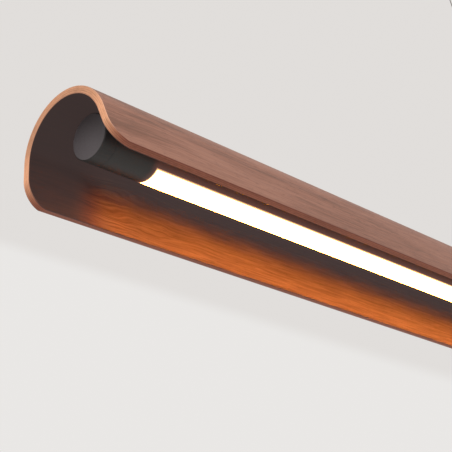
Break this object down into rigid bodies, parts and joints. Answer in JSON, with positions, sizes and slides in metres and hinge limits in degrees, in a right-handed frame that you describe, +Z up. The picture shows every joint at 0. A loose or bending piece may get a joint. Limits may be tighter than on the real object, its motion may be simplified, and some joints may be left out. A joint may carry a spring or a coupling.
{
  "type": "pendant lamp",
  "caption": "Linear pendant lamp: a bent walnut plywood arch shades a slim light tube and hangs on thin wires from a narrow ceiling box.",
  "frame": {"origin": "on the ceiling, midway between the two ceiling screw holes of the bracket", "axes": "+X along the lamp, +Z up towards the ceiling; the end seen in the picture is at -X"},
  "size_m": [1.5, 0.0826, 0.5304],
  "materials": {
    "walnut_veneer": "matte oiled walnut face veneer, grain along the lamp",
    "inner_veneer": "matte oiled walnut face veneer",
    "ply_core": "bent plywood, light edge",
    "black_tube": "matte black anodised",
    "cap_grey": "dark grey satin anodised",
    "opal": "opal acrylic",
    "tray_metal": "mill finish",
    "board": "white solder mask",
    "chip": "yellow phosphor",
    "pad_rubber": "firm black rubber",
    "brass": "turned brass",
    "screw_steel": "dark zinc",
    "nylon": "natural nylon",
    "black_fitting": "matte black",
    "copper": "bare copper strip",
    "bright_steel": "polished steel",
    "wire_rope": "fine steel wire rope",
    "gripper_metal": "nickel plated brass",
    "bracket_steel": "zinc plated sheet",
    "box_paint": "matte black powder coat",
    "case_white": "white moulded case"
  },
  "bodies": {
    "ceiling": {"bracket": "bracket_steel", "ceiling_box": "box_paint", "driver": "case_white", "terminal_block": "case_white", "cover_screw_near": "box_paint", "cover_screw_far": "box_paint", "seat_bush_near": "nylon", "seat_bush_far": "nylon"},
    "grippers": {"gripper_near": "gripper_metal", "gripper_far": "gripper_metal"},
    "button_near": {"release_button_near": "gripper_metal"},
    "button_far": {"release_button_far": "gripper_metal"},
    "wires": {"wire_near": "wire_rope", "wire_far": "wire_rope", "ball_end_near": "bright_steel", "ball_end_far": "bright_steel"},
    "lamp": {"shade_core": "ply_core", "veneer_outer": "walnut_veneer", "veneer_inner": "inner_veneer", "light_tube": "black_tube", "end_cap_near": "cap_grey", "end_cap_far": "cap_grey", "diffuser": "opal", "led_tray": "tray_metal", "led_board_near": "board", "led_board_far": "board", "led_chips_near": "chip", "led_chips_far": "chip", "hang_pad_near": "pad_rubber", "hang_pad_far": "pad_rubber", "end_pad_near": "pad_rubber", "end_pad_far": "pad_rubber", "insert_near": "brass", "insert_far": "brass", "fixing_screw_near": "screw_steel", "fixing_screw_far": "screw_steel", "bush_near": "nylon", "bush_far": "nylon", "saddle_near": "black_fitting", "saddle_far": "black_fitting", "socket_near": "black_fitting", "socket_far": "black_fitting", "socket_cap_near": "black_fitting", "socket_cap_far": "black_fitting", "nut_washer_near": "nylon", "nut_washer_far": "nylon", "lock_nut_near": "brass", "lock_nut_far": "brass", "contact_tag_near": "copper", "contact_tag_far": "copper"}
  },
  "joints": [
    {"name": "side_swing", "type": "hinge", "parent": "ceiling", "child": "grippers", "pos_m": [0, 0, -0.034], "axis": [1, 0, 0], "range_deg": [-10, 10]},
    {"name": "press_near", "type": "slide", "parent": "grippers", "child": "button_near", "axis": [0, 0, 1], "range_m": [0, 0.0019], "stiffness_N_per_m": 400},
    {"name": "press_far", "type": "slide", "parent": "grippers", "child": "button_far", "axis": [0, 0, 1], "range_m": [0, 0.0019], "stiffness_N_per_m": 400},
    {"name": "height_set", "type": "slide", "parent": "grippers", "child": "wires", "axis": [0, 0, 1], "range_m": [0, 0.02]},
    {"name": "lamp_tilt", "type": "hinge", "parent": "wires", "child": "lamp", "pos_m": [0, 0, -0.466], "axis": [1, 0, 0], "range_deg": [-10, 10]}
  ]
}
